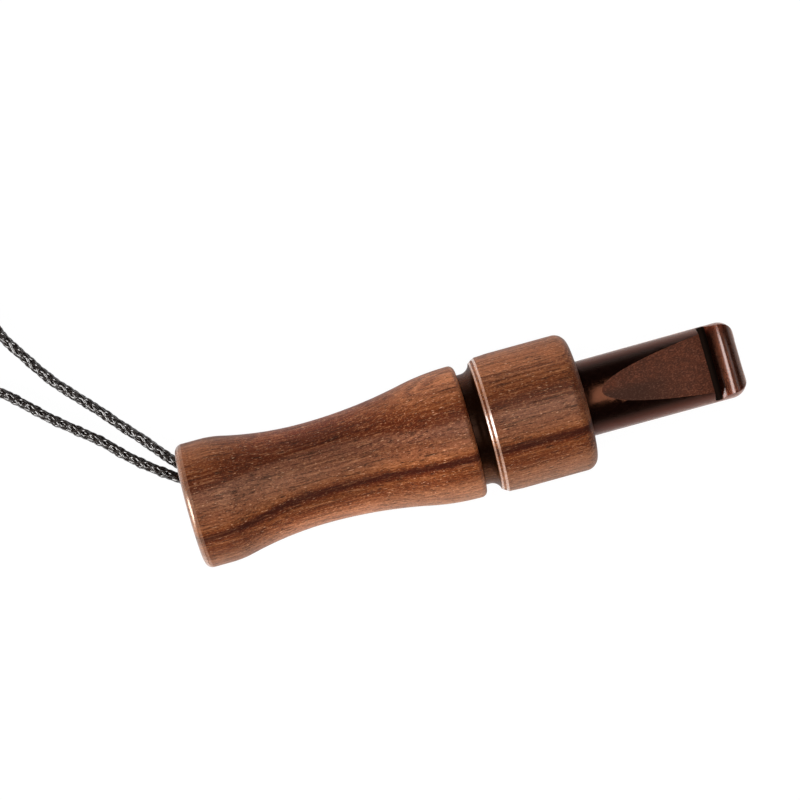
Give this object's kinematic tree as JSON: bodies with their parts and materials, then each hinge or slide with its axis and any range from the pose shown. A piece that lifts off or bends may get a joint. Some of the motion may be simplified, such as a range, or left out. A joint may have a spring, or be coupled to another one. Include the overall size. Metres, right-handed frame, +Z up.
{
  "type": "bird call",
  "caption": "Turned wooden bird call with a flared bell, a head that plugs in on rubber rings, a flattened dark stem mouthpiece, a reed inside and a neck cord.",
  "frame": {"origin": "middle of the call's length and width, on the surface that it lies on", "axes": "+X along the call's axis towards the mouthpiece, +Y across it towards the side that the cord leaves by, +Z up, square to the mouthpiece's flats"},
  "size_m": [0.1928, 0.0974, 0.0291],
  "materials": {
    "walnut": "satin oil",
    "stem_plastic": "polished",
    "ivory_plastic": "satin",
    "reed_film": "satin",
    "cork": "raw",
    "seal_rubber": "satin",
    "cord": "braided"
  },
  "bodies": {
    "barrel": {"barrel": "walnut", "tone_board": "ivory_plastic", "reed_wedge": "cork", "cord_strand_out": "cord", "cord_strand_back": "cord", "cord_coil": "cord", "cord_knot": "cord"},
    "seals": {"seal_ring_front": "seal_rubber", "seal_ring_rear": "seal_rubber"},
    "head": {"head": "walnut", "mouthpiece": "stem_plastic"},
    "reed": {"reed": "reed_film"}
  },
  "joints": [
    {"name": "head_pull", "type": "slide", "parent": "barrel", "child": "seals", "axis": [1, 0, 0], "range_m": [0, 0.016]},
    {"name": "head_twist", "type": "hinge", "parent": "seals", "child": "head", "pos_m": [0.02513, 0, 0.01455], "axis": [1, 0, 0], "continuous": true},
    {"name": "reed_flex", "type": "hinge", "parent": "barrel", "child": "reed", "pos_m": [-0.01443, 0, 0.0154], "axis": [0, 1, 0], "range_deg": [-1, 1], "stiffness_Nm_per_rad": 0.008}
  ]
}
